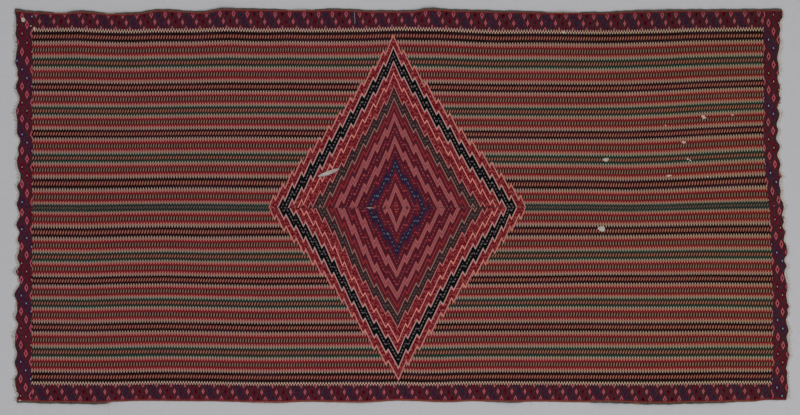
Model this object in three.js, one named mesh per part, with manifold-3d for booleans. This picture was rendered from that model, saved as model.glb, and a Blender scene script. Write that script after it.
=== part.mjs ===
// A serape lying flat on its back, seen from above. Two tapestry-woven panels, each the full
// length of the serape and half of its width, are sewn edge to edge along the centre seam.
// A cord-like edging runs along each long side, and the worn warp ends stand out as a short,
// ragged fringe at both ends.
// Millimetres. +X runs along the length, +Y across towards the far side, +Z up.
import * as THREE from "three";
import { mergeVertices } from "three/addons/utils/BufferGeometryUtils.js";
import Module from "manifold-3d";

// ---- driving dimensions -------------------------------------------------------------------
const CLOTH = 2.4; // thickness of the woven panels
const GAP = 0.3; // clearance between neighbouring pieces
const CENTRE_X = 1.58; // middle of the outer box in the tables below
const CENTRE_Y = 1.34;
const REACH = 150; // how far the low ripples run in from a long edge
const STEP_END = 7; // spacing of the outline's points along an end
const STEP_LONG = 34; // spacing of the outline's points along a long edge
const EDGING_TOP = 3.2; // height of the edging cord
const FRINGE_TOP = 1.6; // height of the matted warp ends
const FRINGE_HEAD = 1.4; // width of the matted strip that the strands leave
const FRINGE_PITCH = 28; // spacing of the strands that still stand out
const STRAND = 3.4; // width of one bunch of strands
const STRAND_SHORT = 3.5; // the shortest and the longest bunch
const STRAND_LONG = 13;

// The sewn inner edge of both panels.
const SEAM = [
  { x: -1221, y: -4.1 },
  { x: -986, y: -4.7 },
  { x: -736, y: -1.6 },
  { x: -486, y: -3.8 },
  { x: -11, y: -3.4 },
  { x: 470, y: -1.6 },
  { x: 701, y: -3.8 },
  { x: 951, y: 1.9 },
  { x: 1217, y: 5.6 },
];

// The long outer edges: where the cloth ends and how wide the edging shows beyond it.
const FAR_EDGE = [
  { x: -1211, y: 612.5, edging: 4.0 },
  { x: -1155, y: 608.1, edging: 4.0 },
  { x: -1055, y: 604.7, edging: 2.2 },
  { x: -1005, y: 609.7, edging: 4.4 },
  { x: -905, y: 602.8, edging: 2.2 },
  { x: -830, y: 604.4, edging: 4.0 },
  { x: -755, y: 614.1, edging: 4.0 },
  { x: -630, y: 607.8, edging: 3.6 },
  { x: -555, y: 617.2, edging: 4.2 },
  { x: -455, y: 615.6, edging: 4.0 },
  { x: -317, y: 613.6, edging: 2.0 },
  { x: -205, y: 615.6, edging: 4.0 },
  { x: -80, y: 610.6, edging: 3.6 },
  { x: 32, y: 610.6, edging: 3.6 },
  { x: 82, y: 617.2, edging: 4.4 },
  { x: 195, y: 612.2, edging: 4.0 },
  { x: 345, y: 608.8, edging: 4.0 },
  { x: 504, y: 606.4, edging: 2.0 },
  { x: 620, y: 605.3, edging: 3.8 },
  { x: 745, y: 610.6, edging: 4.0 },
  { x: 895, y: 613.1, edging: 4.0 },
  { x: 1204, y: 614.7, edging: 4.0 },
];
const NEAR_EDGE = [
  { x: -1211, y: -607.5, edging: 4.4 },
  { x: -1080, y: -611.0, edging: 4.4 },
  { x: -955, y: -612.8, edging: 4.4 },
  { x: -921, y: -611.3, edging: 4.4 },
  { x: -902, y: -607.8, edging: 1.6 },
  { x: -805, y: -605.3, edging: 1.6 },
  { x: -630, y: -606.6, edging: 1.6 },
  { x: -380, y: -611.3, edging: 2.0 },
  { x: -305, y: -608.5, edging: 1.6 },
  { x: -130, y: -611.0, edging: 1.6 },
  { x: -5, y: -605.0, edging: 1.6 },
  { x: 145, y: -609.7, edging: 1.8 },
  { x: 220, y: -606.6, edging: 1.6 },
  { x: 345, y: -609.4, edging: 3.1 },
  { x: 420, y: -607.8, edging: 1.6 },
  { x: 570, y: -610.0, edging: 1.6 },
  { x: 626, y: -608.5, edging: 4.7 },
  { x: 795, y: -613.8, edging: 4.7 },
  { x: 945, y: -610.7, edging: 4.4 },
  { x: 1095, y: -607.5, edging: 1.9 },
  { x: 1145, y: -602.5, edging: 1.9 },
  { x: 1220, y: -603.1, edging: 1.9 },
];

// The worn ends of each panel: the uneven scallops, bulge by bulge.
const FAR_LEFT = [
  { y: -18, x: -1193.8 },
  { y: 8, x: -1201.6 },
  { y: 26, x: -1195.6 },
  { y: 41, x: -1192.8 },
  { y: 65, x: -1200.6 },
  { y: 82, x: -1190.0 },
  { y: 97, x: -1189.7 },
  { y: 130, x: -1199.4 },
  { y: 146, x: -1200.6 },
  { y: 165, x: -1194.7 },
  { y: 180, x: -1197.5 },
  { y: 208, x: -1189.7 },
  { y: 230, x: -1200.6 },
  { y: 266, x: -1199.7 },
  { y: 299, x: -1203.4 },
  { y: 337, x: -1192.2 },
  { y: 376, x: -1203.8 },
  { y: 401, x: -1196.2 },
  { y: 413, x: -1199.7 },
  { y: 426, x: -1197.8 },
  { y: 451, x: -1206.2 },
  { y: 472, x: -1203.4 },
  { y: 505, x: -1199.1 },
  { y: 524, x: -1201.2 },
  { y: 540, x: -1205.6 },
  { y: 557, x: -1202.8 },
  { y: 590, x: -1203.4 },
  { y: 610, x: -1207.5 },
  { y: 632, x: -1207.5 },
];
const FAR_RIGHT = [
  { y: -18, x: 1191.6 },
  { y: -1, x: 1196.2 },
  { y: 10, x: 1193.8 },
  { y: 29, x: 1184.7 },
  { y: 51, x: 1186.2 },
  { y: 69, x: 1181.6 },
  { y: 83, x: 1182.2 },
  { y: 96, x: 1188.4 },
  { y: 112, x: 1181.6 },
  { y: 132, x: 1185.6 },
  { y: 162, x: 1175.9 },
  { y: 188, x: 1184.1 },
  { y: 213, x: 1171.9 },
  { y: 240, x: 1178.7 },
  { y: 255, x: 1173.4 },
  { y: 290, x: 1182.8 },
  { y: 312, x: 1175.3 },
  { y: 338, x: 1185.3 },
  { y: 352, x: 1180.3 },
  { y: 372, x: 1184.1 },
  { y: 404, x: 1175.9 },
  { y: 418, x: 1180.6 },
  { y: 444, x: 1180.0 },
  { y: 462, x: 1175.3 },
  { y: 497, x: 1181.6 },
  { y: 519, x: 1184.7 },
  { y: 538, x: 1182.2 },
  { y: 555, x: 1185.3 },
  { y: 571, x: 1181.9 },
  { y: 599, x: 1193.1 },
  { y: 632, x: 1187.5 },
];
const NEAR_LEFT = [
  { y: -637, x: -1201.2 },
  { y: -602, x: -1200.6 },
  { y: -588, x: -1194.4 },
  { y: -573, x: -1201.9 },
  { y: -556, x: -1205.9 },
  { y: -538, x: -1206.9 },
  { y: -521, x: -1198.4 },
  { y: -488, x: -1207.5 },
  { y: -460, x: -1200.0 },
  { y: -431, x: -1206.9 },
  { y: -399, x: -1205.6 },
  { y: -367, x: -1196.6 },
  { y: -348, x: -1205.9 },
  { y: -324, x: -1199.4 },
  { y: -295, x: -1201.6 },
  { y: -276, x: -1208.8 },
  { y: -238, x: -1190.9 },
  { y: -221, x: -1194.7 },
  { y: -204, x: -1204.4 },
  { y: -182, x: -1191.3 },
  { y: -160, x: -1199.7 },
  { y: -138, x: -1194.1 },
  { y: -120, x: -1191.6 },
  { y: -103, x: -1199.1 },
  { y: -82, x: -1192.8 },
  { y: -56, x: -1202.8 },
  { y: -26, x: -1190.9 },
  { y: 8, x: -1201.6 },
];
const NEAR_RIGHT = [
  { y: -637, x: 1203.1 },
  { y: -602, x: 1204.4 },
  { y: -571, x: 1209.4 },
  { y: -531, x: 1205.9 },
  { y: -517, x: 1207.5 },
  { y: -507, x: 1203.1 },
  { y: -485, x: 1207.8 },
  { y: -463, x: 1212.8 },
  { y: -448, x: 1208.7 },
  { y: -431, x: 1209.7 },
  { y: -407, x: 1204.7 },
  { y: -388, x: 1210.9 },
  { y: -354, x: 1203.1 },
  { y: -332, x: 1209.4 },
  { y: -323, x: 1206.9 },
  { y: -312, x: 1211.9 },
  { y: -296, x: 1206.2 },
  { y: -274, x: 1203.4 },
  { y: -256, x: 1207.8 },
  { y: -203, x: 1197.5 },
  { y: -185, x: 1205.0 },
  { y: -167, x: 1196.9 },
  { y: -145, x: 1207.5 },
  { y: -121, x: 1204.4 },
  { y: -106, x: 1195.6 },
  { y: -79, x: 1200.0 },
  { y: -60, x: 1192.2 },
  { y: -46, x: 1196.2 },
  { y: -26, x: 1190.3 },
  { y: -4, x: 1196.2 },
  { y: 10, x: 1193.8 },
];
const OUT = { left: -1, right: 1 };

// Low ripples where a long edge doesn't lie quite flat.
const RIPPLES = [
  { edge: "far", x: -1052, span: 34, lift: 2.6 },
  { edge: "far", x: -900, span: 40, lift: 3.2 },
  { edge: "far", x: -560, span: 52, lift: 3.0 },
  { edge: "far", x: -317, span: 30, lift: 3.6 },
  { edge: "far", x: 75, span: 46, lift: 3.0 },
  { edge: "far", x: 504, span: 36, lift: 3.6 },
  { edge: "far", x: 800, span: 60, lift: 2.2 },
  { edge: "near", x: -912, span: 30, lift: 3.4 },
  { edge: "near", x: -420, span: 56, lift: 2.4 },
  { edge: "near", x: -130, span: 44, lift: 2.8 },
  { edge: "near", x: 330, span: 40, lift: 3.0 },
  { edge: "near", x: 636, span: 34, lift: 3.6 },
  { edge: "near", x: 985, span: 52, lift: 2.6 },
];

// Places where the weave has worn through or torn.
const HOLES = [
  { panel: "far", x: -226, y: 106.3, long: 73, wide: 10.6, turn: 20, tip: 0.2 },
  { panel: "far", x: 640.6, y: 146.9, long: 20, wide: 12, turn: 6, tip: 0 },
  { panel: "near", x: 626.6, y: -69.1, long: 23, wide: 16, turn: -12, tip: 0 },
];

const COLOURS = {
  panel: 0x5a2f2e,
  edging: 0x2b3a2c,
  fringe: 0xb9a88c,
};

// ---- reading the tables --------------------------------------------------------------------
// The value of a column at a place along the table, eased from row to row.
function along(rows, key, place, value) {
  let i = 0;
  while (i < rows.length - 2 && place > rows[i + 1][key]) i++;
  const a = rows[i];
  const b = rows[i + 1];
  const t = Math.min(1, Math.max(0, (place - a[key]) / (b[key] - a[key])));
  return a[value] + (b[value] - a[value]) * t * t * (3 - 2 * t);
}

const PANELS = {
  far: { edge: FAR_EDGE, left: FAR_LEFT, right: FAR_RIGHT, side: 1 },
  near: { edge: NEAR_EDGE, left: NEAR_LEFT, right: NEAR_RIGHT, side: -1 },
};

const seamY = (x) => along(SEAM, "x", x, "y") - CENTRE_Y;
const edgeY = (panel, x) =>
  along(PANELS[panel].edge, "x", x, "y") - CENTRE_Y;
const edgingWidth = (panel, x) =>
  along(PANELS[panel].edge, "x", x, "edging");

const endX = (panel, end, y) =>
  along(PANELS[panel][end], "y", y + CENTRE_Y, "x") - CENTRE_X;

// How far the cloth stands off the surface at a place near a long edge.
function liftAt(panel, x, y) {
  const inward = PANELS[panel].side * (edgeY(panel, x) - y);
  const t = Math.min(1, Math.max(0, 1 - inward / REACH));
  const fade = t * t * (3 - 2 * t);
  let lift = 0;
  for (const r of RIPPLES)
    if (r.edge === panel)
      lift += r.lift * Math.exp(-(((x + CENTRE_X - r.x) / r.span) ** 2));
  return lift * fade;
}

// A number from 0 to 1 that looks random and is always the same for the same i.
const scatter = (i) => {
  const s = Math.sin(i * 12.9898 + 4.1414) * 43758.5453;
  return s - Math.floor(s);
};

// ---- solids --------------------------------------------------------------------------------
const wasm = await Module();
wasm.setup();

function toSolid(geometry) {
  const g = geometry.clone();
  g.deleteAttribute("normal");
  g.deleteAttribute("uv");
  const m = mergeVertices(g, 1e-4);
  return new wasm.Manifold(
    new wasm.Mesh({
      numProp: 3,
      vertProperties: new Float32Array(m.attributes.position.array),
      triVerts: new Uint32Array(m.index.array),
    }),
  );
}

function toGeometry(solid) {
  const m = solid.getMesh();
  const g = new THREE.BufferGeometry();
  g.setAttribute("position", new THREE.BufferAttribute(m.vertProperties, 3));
  g.setIndex(new THREE.BufferAttribute(m.triVerts, 1));
  g.computeVertexNormals();
  return g;
}

// Places from a to b, both included, no further apart than step.
function places(a, b, step) {
  const n = Math.max(1, Math.ceil(Math.abs(b - a) / step));
  return Array.from({ length: n + 1 }, (_, i) => a + ((b - a) * i) / n);
}

// The multiples of step between a and b, so that neighbours share their corners.
function rungs(a, b, step) {
  const low = Math.ceil(Math.min(a, b) / step + 0.2);
  const high = Math.floor(Math.max(a, b) / step - 0.2);
  const all = Array.from({ length: high - low + 1 }, (_, i) => (low + i) * step);
  return a < b ? all : all.reverse();
}

// A worn hole: a ragged oval, or a slit with pointed tips.
function holePath({ x, y, long, wide, turn, tip }, seed) {
  const path = new THREE.Path();
  const count = 12;
  const turned = THREE.MathUtils.degToRad(turn);
  for (let i = 0; i < count; i++) {
    const a = (2 * Math.PI * i) / count;
    const rag = tip ? 1 : 0.86 + 0.28 * scatter(seed + i);
    const u = (long / 2) * Math.cos(a) * rag;
    const v = (wide / 2) * Math.sin(a) * rag * Math.abs(Math.sin(a)) ** tip;
    const px = x - CENTRE_X + u * Math.cos(turned) - v * Math.sin(turned);
    const py = y - CENTRE_Y + u * Math.sin(turned) + v * Math.cos(turned);
    if (i === 0) path.moveTo(px, py);
    else path.lineTo(px, py);
  }
  path.closePath();
  return path;
}

// The outline of a panel: seam, right end, long edge and left end.
function panelOutline(panel) {
  const { side } = PANELS[panel];
  const seamIn = (x) => seamY(x) + (side * GAP) / 2;
  const points = [];
  const rightSeam = endX(panel, "right", seamIn(1190));
  const leftSeam = endX(panel, "left", seamIn(-1190));
  for (const x of places(leftSeam, rightSeam, 110))
    points.push(new THREE.Vector2(x, seamIn(x)));
  const rightEdge = endX(panel, "right", edgeY(panel, 1195));
  for (const y of rungs(seamIn(1190), edgeY(panel, rightEdge), STEP_END))
    points.push(new THREE.Vector2(endX(panel, "right", y), y));
  const leftEdge = endX(panel, "left", edgeY(panel, -1200));
  for (const x of places(rightEdge, leftEdge, STEP_LONG))
    points.push(new THREE.Vector2(x, edgeY(panel, x)));
  for (const y of rungs(edgeY(panel, leftEdge), seamIn(-1190), STEP_END))
    points.push(new THREE.Vector2(endX(panel, "left", y), y));
  const shape = new THREE.Shape(points);
  HOLES.forEach((hole, i) => {
    if (hole.panel === panel) shape.holes.push(holePath(hole, 31 * (i + 1)));
  });
  return shape;
}

// A panel: the rippled sheet, cut to its outline and worn through at its holes.
function panelSolid(panel) {
  const { side } = PANELS[panel];
  const sheet = new THREE.BoxGeometry(2600, 1, CLOTH, 52, 6, 1);
  const pos = sheet.attributes.position;
  for (let i = 0; i < pos.count; i++) {
    const t = pos.getY(i) + 0.5; // 0 beyond the seam, 1 beyond the long edge
    const y = side * (t < 0.17 ? -30 + 3000 * t : 470 + 204 * (t - 1 / 6));
    const x = pos.getX(i);
    const z = pos.getZ(i) + CLOTH / 2;
    pos.setXYZ(i, x, y, z + liftAt(panel, x, y));
  }
  if (side < 0) {
    // the far side's rows run the other way, so the faces are turned back out
    const index = sheet.index.array;
    for (let i = 0; i < index.length; i += 3)
      [index[i + 1], index[i + 2]] = [index[i + 2], index[i + 1]];
  }
  const block = new THREE.ExtrudeGeometry(panelOutline(panel), {
    depth: 40,
    bevelEnabled: false,
  });
  block.translate(0, 0, -10);
  return toSolid(sheet).intersect(toSolid(block));
}

// The edging cord beside a long edge, as wide as it shows and rippling with the cloth.
function edgingGeometry(panel) {
  const { side } = PANELS[panel];
  const from = endX(panel, "left", edgeY(panel, -1200));
  const to = endX(panel, "right", edgeY(panel, 1195));
  const xs = places(from + 1, to - 1, STEP_LONG);
  const inner = xs.map((x) => new THREE.Vector2(x, edgeY(panel, x) + side * GAP));
  const outer = xs.map(
    (x) => new THREE.Vector2(x, edgeY(panel, x) + side * (GAP + edgingWidth(panel, x))),
  );
  const g = new THREE.ExtrudeGeometry(new THREE.Shape([...inner, ...outer.reverse()]), {
    depth: EDGING_TOP,
    bevelEnabled: false,
  });
  const pos = g.attributes.position;
  for (let i = 0; i < pos.count; i++)
    pos.setZ(i, pos.getZ(i) + liftAt(panel, pos.getX(i), edgeY(panel, pos.getX(i))));
  return g;
}

// The fringe of one end of a panel: a comb of uneven bunches of warp ends.
function fringeGeometry(panel, end, seed) {
  const out = OUT[end];
  const nearX = end === "left" ? -1190 : 1190;
  const rows = rungs(seamY(nearX), edgeY(panel, nearX), STEP_END).sort((a, b) => a - b);
  const from = rows[0];
  const to = rows[rows.length - 1];
  // the gap widens where the end runs aslant, so that it stays as wide across
  const gapAt = (y) =>
    GAP * Math.hypot(1, (endX(panel, end, y + 4) - endX(panel, end, y - 4)) / 8) + 0.05;
  const at = (y, beyond) =>
    new THREE.Vector2(endX(panel, end, y) + out * (gapAt(y) + beyond), y);
  const inner = rows.map((y) => at(y, 0));
  const count = Math.floor((to - from) / FRINGE_PITCH);
  const pitch = (to - from) / count;
  const outer = [];
  let done = from;
  const follow = (y) => {
    for (const place of places(done, y, 1.4 * STEP_END)) outer.push(at(place, FRINGE_HEAD));
  };
  for (let i = 0; i < count; i++) {
    const middle = from + pitch * (i + 0.3 + 0.4 * scatter(seed + i));
    const length =
      STRAND_SHORT + (STRAND_LONG - STRAND_SHORT) * scatter(seed + 7 * i + 3) ** 2;
    const swing = 3 * (scatter(seed + 5 * i + 1) - 0.5);
    follow(middle - STRAND / 2);
    const tip = at(middle, FRINGE_HEAD + length);
    outer.push(new THREE.Vector2(tip.x, middle - STRAND / 4 + swing));
    outer.push(new THREE.Vector2(tip.x, middle + STRAND / 4 + swing));
    done = middle + STRAND / 2;
  }
  follow(to);
  return new THREE.ExtrudeGeometry(new THREE.Shape([...inner, ...outer.reverse()]), {
    depth: FRINGE_TOP,
    bevelEnabled: false,
  });
}

// ---- the serape ----------------------------------------------------------------------------
const serape = new THREE.Group();
const add = (name, geometry, colour, roughness) => {
  const mesh = new THREE.Mesh(
    geometry,
    new THREE.MeshStandardMaterial({ color: colour, roughness, metalness: 0 }),
  );
  mesh.name = name;
  serape.add(mesh);
};

for (const panel of ["far", "near"]) {
  add(`panel_${panel}`, toGeometry(panelSolid(panel)), COLOURS.panel, 0.95);
  add(`edging_${panel}`, edgingGeometry(panel), COLOURS.edging, 0.9);
}
add("fringe_left_far", fringeGeometry("far", "left", 11), COLOURS.fringe, 1);
add("fringe_left_near", fringeGeometry("near", "left", 23), COLOURS.fringe, 1);
add("fringe_right_far", fringeGeometry("far", "right", 37), COLOURS.fringe, 1);
add("fringe_right_near", fringeGeometry("near", "right", 53), COLOURS.fringe, 1);

export default serape;
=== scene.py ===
import math

import bpy
import numpy as np
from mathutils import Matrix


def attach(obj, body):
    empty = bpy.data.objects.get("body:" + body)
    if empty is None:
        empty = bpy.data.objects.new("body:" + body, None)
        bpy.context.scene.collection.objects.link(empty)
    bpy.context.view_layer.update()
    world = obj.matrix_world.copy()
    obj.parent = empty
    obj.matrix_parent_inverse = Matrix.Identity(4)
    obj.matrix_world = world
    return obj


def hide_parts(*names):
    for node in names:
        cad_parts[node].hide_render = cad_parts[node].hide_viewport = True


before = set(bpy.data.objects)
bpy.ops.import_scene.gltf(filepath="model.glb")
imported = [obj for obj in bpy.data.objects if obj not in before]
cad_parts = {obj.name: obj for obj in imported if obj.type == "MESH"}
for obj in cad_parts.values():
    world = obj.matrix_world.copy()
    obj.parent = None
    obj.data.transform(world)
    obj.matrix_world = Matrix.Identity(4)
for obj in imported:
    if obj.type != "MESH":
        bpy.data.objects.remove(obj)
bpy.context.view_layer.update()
RNG = np.random.default_rng(1847)
MM = 0.001

# ---- the cloth's outline, as in the solids ---------------------------------------------------
CENTRE_X, CENTRE_Y, REACH, GAP = 1.58, 1.34, 150.0, 0.3
SEAM = dict(
    x=[-1221, -986, -736, -486, -11, 470, 701, 951, 1217],
    y=[-4.1, -4.7, -1.6, -3.8, -3.4, -1.6, -3.8, 1.9, 5.6],
)
EDGE = {
    "far": dict(
        x=[-1211, -1155, -1055, -1005, -905, -830, -755, -630, -555, -455, -317, -205, -80, 32, 82,
           195, 345, 504, 620, 745, 895, 1204],
        y=[612.5, 608.1, 604.7, 609.7, 602.8, 604.4, 614.1, 607.8, 617.2, 615.6, 613.6, 615.6,
           610.6, 610.6, 617.2, 612.2, 608.8, 606.4, 605.3, 610.6, 613.1, 614.7],
        edging=[4.0, 4.0, 2.2, 4.4, 2.2, 4.0, 4.0, 3.6, 4.2, 4.0, 2.0, 4.0, 3.6, 3.6, 4.4, 4.0,
                4.0, 2.0, 3.8, 4.0, 4.0, 4.0],
    ),
    "near": dict(
        x=[-1211, -1080, -955, -921, -902, -805, -630, -380, -305, -130, -5, 145, 220, 345, 420,
           570, 626, 795, 945, 1095, 1145, 1220],
        y=[-607.5, -611.0, -612.8, -611.3, -607.8, -605.3, -606.6, -611.3, -608.5, -611.0, -605.0,
           -609.7, -606.6, -609.4, -607.8, -610.0, -608.5, -613.8, -610.7, -607.5, -602.5, -603.1],
        edging=[4.4, 4.4, 4.4, 4.4, 1.6, 1.6, 1.6, 2.0, 1.6, 1.6, 1.6, 1.8, 1.6, 3.1, 1.6, 1.6,
                4.7, 4.7, 4.4, 1.9, 1.9, 1.9],
    ),
}
# the worn ends: the uneven scallops, bulge by bulge
ENDS = {
    "far": {
        "left": dict(
            y=[-18, 8, 26, 41, 65, 82, 97, 130, 146, 165, 180, 208, 230, 266, 299, 337, 376,
               401, 413, 426, 451, 472, 505, 524, 540, 557, 590, 610, 632],
            x=[-1193.8, -1201.6, -1195.6, -1192.8, -1200.6, -1190.0, -1189.7, -1199.4, -1200.6,
               -1194.7, -1197.5, -1189.7, -1200.6, -1199.7, -1203.4, -1192.2, -1203.8, -1196.2,
               -1199.7, -1197.8, -1206.2, -1203.4, -1199.1, -1201.2, -1205.6, -1202.8, -1203.4,
               -1207.5, -1207.5],
        ),
        "right": dict(
            y=[-18, -1, 10, 29, 51, 69, 83, 96, 112, 132, 162, 188, 213, 240, 255, 290, 312,
               338, 352, 372, 404, 418, 444, 462, 497, 519, 538, 555, 571, 599, 632],
            x=[1191.6, 1196.2, 1193.8, 1184.7, 1186.2, 1181.6, 1182.2, 1188.4, 1181.6, 1185.6,
               1175.9, 1184.1, 1171.9, 1178.7, 1173.4, 1182.8, 1175.3, 1185.3, 1180.3, 1184.1,
               1175.9, 1180.6, 1180.0, 1175.3, 1181.6, 1184.7, 1182.2, 1185.3, 1181.9, 1193.1,
               1187.5],
        ),
    },
    "near": {
        "left": dict(
            y=[-637, -602, -588, -573, -556, -538, -521, -488, -460, -431, -399, -367, -348,
               -324, -295, -276, -238, -221, -204, -182, -160, -138, -120, -103, -82, -56, -26,
               8],
            x=[-1201.2, -1200.6, -1194.4, -1201.9, -1205.9, -1206.9, -1198.4, -1207.5, -1200.0,
               -1206.9, -1205.6, -1196.6, -1205.9, -1199.4, -1201.6, -1208.8, -1190.9, -1194.7,
               -1204.4, -1191.3, -1199.7, -1194.1, -1191.6, -1199.1, -1192.8, -1202.8, -1190.9,
               -1201.6],
        ),
        "right": dict(
            y=[-637, -602, -571, -531, -517, -507, -485, -463, -448, -431, -407, -388, -354,
               -332, -323, -312, -296, -274, -256, -203, -185, -167, -145, -121, -106, -79,
               -60, -46, -26, -4, 10],
            x=[1203.1, 1204.4, 1209.4, 1205.9, 1207.5, 1203.1, 1207.8, 1212.8, 1208.7, 1209.7,
               1204.7, 1210.9, 1203.1, 1209.4, 1206.9, 1211.9, 1206.2, 1203.4, 1207.8, 1197.5,
               1205.0, 1196.9, 1207.5, 1204.4, 1195.6, 1200.0, 1192.2, 1196.2, 1190.3, 1196.2,
               1193.8],
        ),
    },
}
OUT = {"left": -1, "right": 1}
RIPPLES = {
    "far": dict(
        x=[-1052, -900, -560, -317, 75, 504, 800],
        span=[34, 40, 52, 30, 46, 36, 60],
        lift=[2.6, 3.2, 3.0, 3.6, 3.0, 3.6, 2.2],
    ),
    "near": dict(
        x=[-912, -420, -130, 330, 636, 985],
        span=[30, 56, 44, 40, 34, 52],
        lift=[3.4, 2.4, 2.8, 3.0, 3.6, 2.6],
    ),
}
HOLES = [
    dict(panel="far", x=-226.0, y=106.3, long=75.0, wide=13.2, turn=20.0, tip=True),
    dict(panel="far", x=640.6, y=146.9, long=20.0, wide=12.6, turn=6.0, tip=False),
    dict(panel="near", x=626.6, y=-69.1, long=23.5, wide=17.0, turn=-12.0, tip=False),
]
# Soft low ridges and troughs where the cloth isn't quite smooth: ends, half width and height.
CREASES = [
    dict(x0=-1150, y0=420, x1=-860, y1=330, half=46, high=0.55),
    dict(x0=-760, y0=560, x1=-690, y1=250, half=38, high=0.5),
    dict(x0=-480, y0=-120, x1=-150, y1=-210, half=52, high=0.45),
    dict(x0=-300, y0=70, x1=-150, y1=128, half=22, high=0.6),
    dict(x0=-930, y0=-560, x1=-880, y1=-330, half=40, high=0.6),
    dict(x0=250, y0=430, x1=560, y1=540, half=48, high=0.5),
    dict(x0=760, y0=210, x1=1100, y1=330, half=55, high=0.65),
    dict(x0=880, y0=-90, x1=1170, y1=-20, half=50, high=0.5),
    dict(x0=420, y0=-330, x1=700, y1=-420, half=54, high=0.45),
    dict(x0=-80, y0=330, x1=60, y1=520, half=60, high=0.4),
    dict(x0=1000, y0=-480, x1=1130, y1=-300, half=42, high=0.5),
]
SIDE = {"far": 1, "near": -1}
CLOTH = 2.2  # thickness of the woven cloth


def along(table, key, place, value):
    """A column's value at a place along its table, eased from row to row."""
    rows = np.asarray(table[key], float)
    vals = np.asarray(table[value], float)
    place = np.asarray(place, float)
    i = np.clip(np.searchsorted(rows, place, side="left") - 1, 0, len(rows) - 2)
    t = np.clip((place - rows[i]) / (rows[i + 1] - rows[i]), 0, 1)
    return vals[i] + (vals[i + 1] - vals[i]) * t * t * (3 - 2 * t)


def seam_y(x):
    return along(SEAM, "x", x, "y") - CENTRE_Y


def edge_y(panel, x):
    return along(EDGE[panel], "x", x, "y") - CENTRE_Y


def edging_width(panel, x):
    return along(EDGE[panel], "x", x, "edging")


def end_x(panel, end, y):
    return along(ENDS[panel][end], "y", np.asarray(y, float) + CENTRE_Y, "x") - CENTRE_X


def lift_at(panel, x, y):
    """How far the cloth stands off the surface."""
    x = np.asarray(x, float)
    inward = SIDE[panel] * (edge_y(panel, x) - y)
    t = np.clip(1 - inward / REACH, 0, 1)
    r = RIPPLES[panel]
    lift = np.zeros_like(x)
    for rx, span, high in zip(r["x"], r["span"], r["lift"]):
        lift = lift + high * np.exp(-(((x + CENTRE_X - rx) / span) ** 2))
    return lift * t * t * (3 - 2 * t)


def crease_at(x, y):
    """The soft ridges, on top of the ripples."""
    total = np.zeros_like(x)
    for c in CREASES:
        dx, dy = c["x1"] - c["x0"], c["y1"] - c["y0"]
        t = np.clip(((x - c["x0"]) * dx + (y - c["y0"]) * dy) / (dx * dx + dy * dy), 0, 1)
        d = np.hypot(x - c["x0"] - t * dx, y - c["y0"] - t * dy)
        total = total + c["high"] * np.exp(-((d / c["half"]) ** 2)) * np.sin(np.pi * (0.1 + 0.8 * t))
    return total


def top_z(panel, x, y):
    """The upper face of a panel."""
    x = np.asarray(x, float)
    y = np.asarray(y, float)
    wobble = 0.09 * np.sin(x / 31 + y / 47) + 0.08 * np.sin(y / 23 - x / 61 + 1.3)
    pucker = np.exp(-np.abs(y - seam_y(x)) / 9.0) * (
        0.28 * np.sin(x / 5.2) + 0.22 * np.sin(x / 17.0 + 0.8) - 0.25
    )
    return CLOTH + lift_at(panel, x, y) + crease_at(x, y) + wobble + pucker


# ---- the pattern's chart ---------------------------------------------------------------------
# Chart places: column u from the left, row v from the top, in steps of 3.125 mm.
STEP = 3.125
# the middles of the thin tan strips, top to bottom
STRIPS = [30.15, 43.4, 56.0, 68.3, 80.4, 92.4, 104.1, 115.65, 127.05, 139.1, 151.7, 163.5, 175.9,
          190.1, 202.3, 211.3, 223.9, 237.5, 249.5, 261.05, 273.4, 285.25, 296.5, 308.25, 320.3,
          332.85, 345.25, 357.85, 369.8, 382.65]
# how far a few of those lines wander from straight, at places along the length
WANDER_AT = [20, 49, 85, 125, 165, 205, 260, 535, 584, 625, 665, 705, 746, 785]
WANDER = {
    104.1: [0.4, 0.5, 0.7, 0.9, 0.55, -0.05, -0.25, 1.5, 1.6, 1.2, -0.25, -2.45, -4.0, -5.0],
    175.9: [-0.1, -0.15, -0.2, -0.4, -0.9, -0.95, -0.6, 1.2, 1.55, 2.25, 1.35, -0.6, -2.5, -3.4],
    206.8: [0.5, 0.7, 0.9, 0.3, -0.1, -0.1, 0.6, -0.1, 0.1, 0.65, 0.05, -1.15, -2.1, -2.6],
    237.5: [1.1, 1.4, 1.75, 0.8, 0.45, 1.15, 0.45, -0.4, -0.4, -0.6, -1.2, -1.7, -1.65, -1.6],
    273.4: [1.1, 1.25, 1.45, 0.3, -0.25, 0.8, 1.6, -0.05, -0.9, -0.9, -0.95, -1.35, -1.1, -1.0],
    308.25: [0.1, 0.25, 0.55, -0.5, -0.65, 0.0, 1.0, -0.3, -0.45, -0.05, -0.05, -0.15, 0.35, 0.6],
}
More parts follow.
